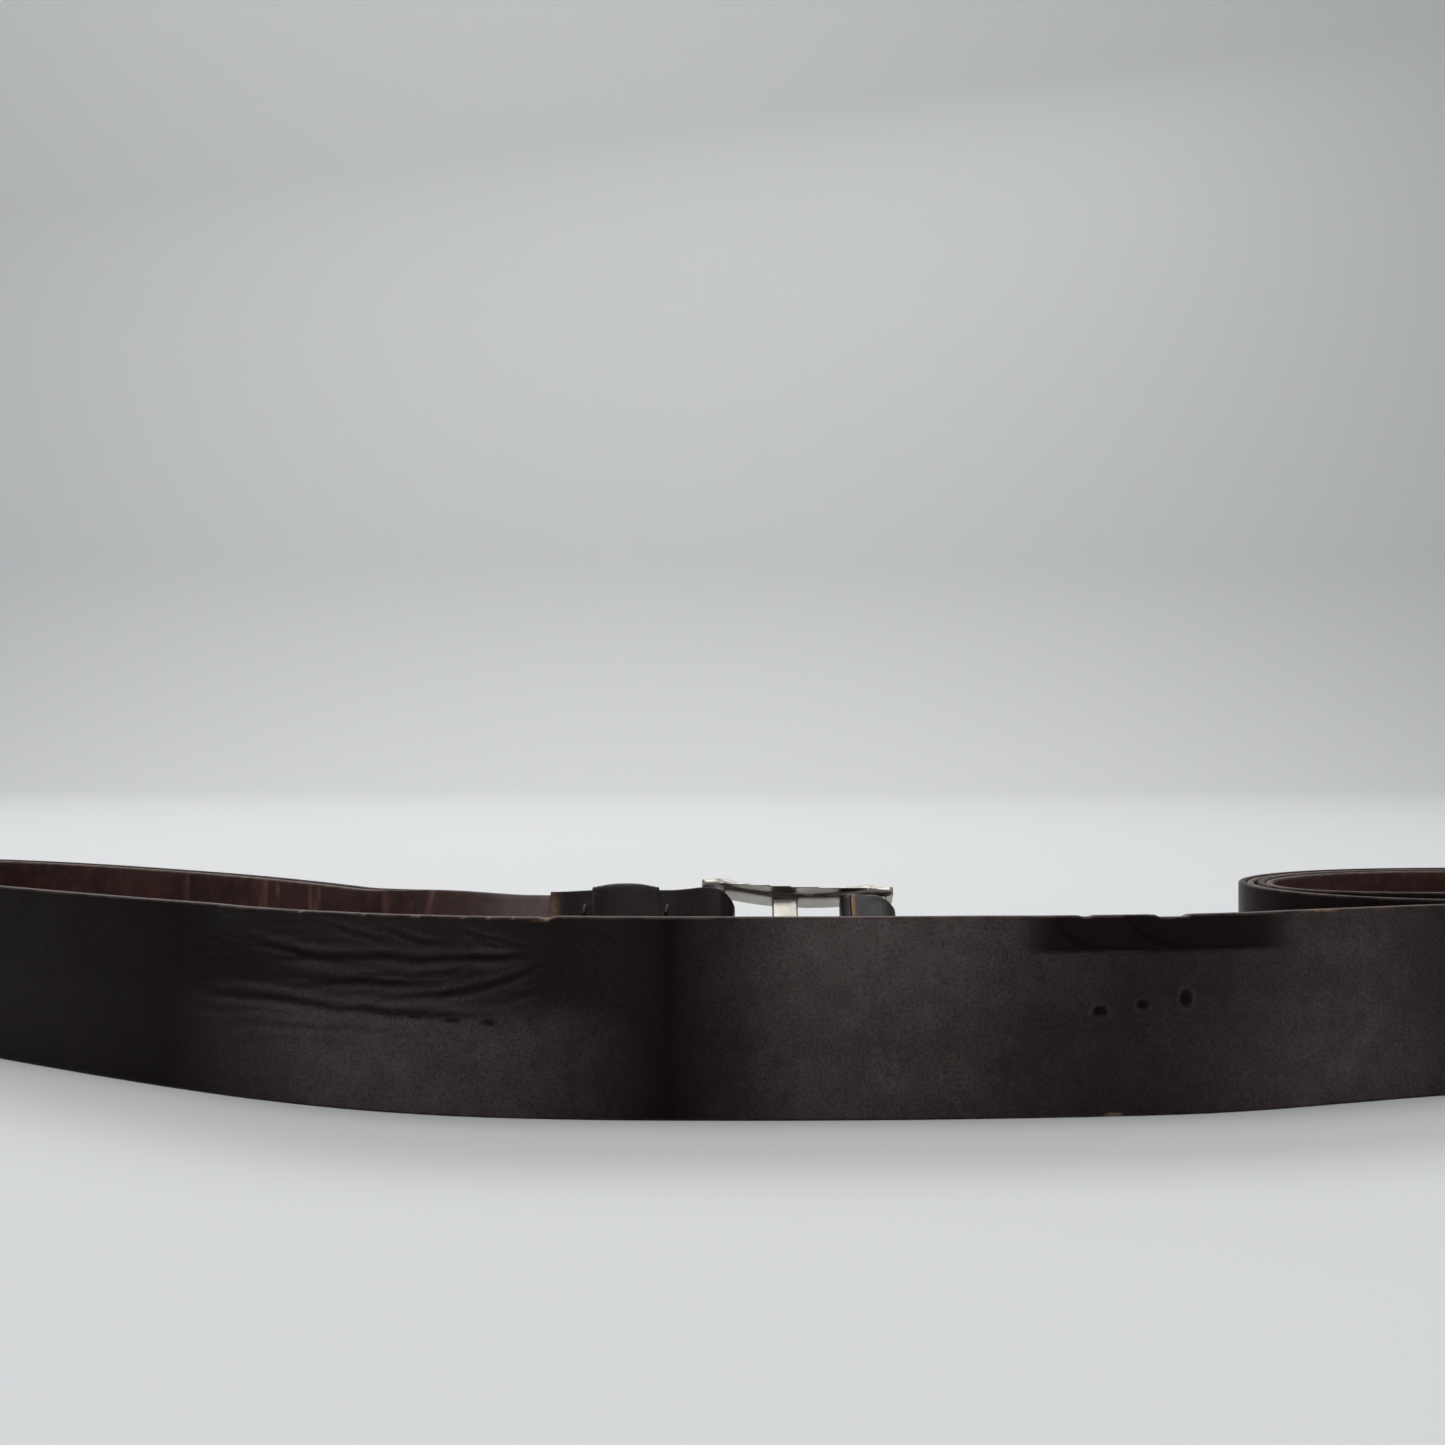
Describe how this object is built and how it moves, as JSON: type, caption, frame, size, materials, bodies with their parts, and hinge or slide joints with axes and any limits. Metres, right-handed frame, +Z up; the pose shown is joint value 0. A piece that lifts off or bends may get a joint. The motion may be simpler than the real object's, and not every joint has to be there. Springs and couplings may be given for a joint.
{
  "type": "leather belt",
  "caption": "Leather dress belt laid out on its lower edge: buckle end with frame, tongue and keeper, a loop, a long outer run and a coiled punched tip.",
  "frame": {"origin": "middle of the footprint, on the floor the belt stands on", "axes": "+X along the belt's long outer run, from its loop towards its coil; +Y from that run towards the buckle end; +Z up, across the strap"},
  "size_m": [0.4172, 0.1089, 0.0385],
  "materials": {
    "grain_leather": "satin, fine pebbled grain",
    "lining_leather": "smooth, dyed",
    "wrap_leather": "satin",
    "satin_nickel": "satin nickel plate",
    "steel_wire": "drawn wire",
    "thread": "waxed thread"
  },
  "bodies": {
    "strap": {"strap_grain_leather": "grain_leather", "strap_lining": "lining_leather", "heel_seam_inner_thread": "thread", "heel_seam_outer_thread": "thread", "end_seam_inner_thread": "thread", "end_seam_outer_thread": "thread"},
    "keeper": {"keeper_loop": "grain_leather", "keeper_staple": "steel_wire"},
    "buckle": {"buckle_frame": "satin_nickel", "toe_bar_wrap": "wrap_leather"},
    "tongue": {"buckle_tongue": "satin_nickel"}
  },
  "joints": [
    {"name": "buckle_swing", "type": "hinge", "parent": "strap", "child": "buckle", "pos_m": [-0.00326, -0.03243, 0.02083], "axis": [0, 0.5878, 0.809], "range_deg": [-8, 80]},
    {"name": "tongue_swing", "type": "hinge", "parent": "buckle", "child": "tongue", "pos_m": [0.01034, -0.02947, 0.01869], "axis": [0, 0.5878, 0.809], "range_deg": [0, 80]},
    {"name": "keeper_slide", "type": "slide", "parent": "strap", "child": "keeper", "axis": [1, 0, 0], "range_m": [-0.0008, 0.0008]}
  ]
}
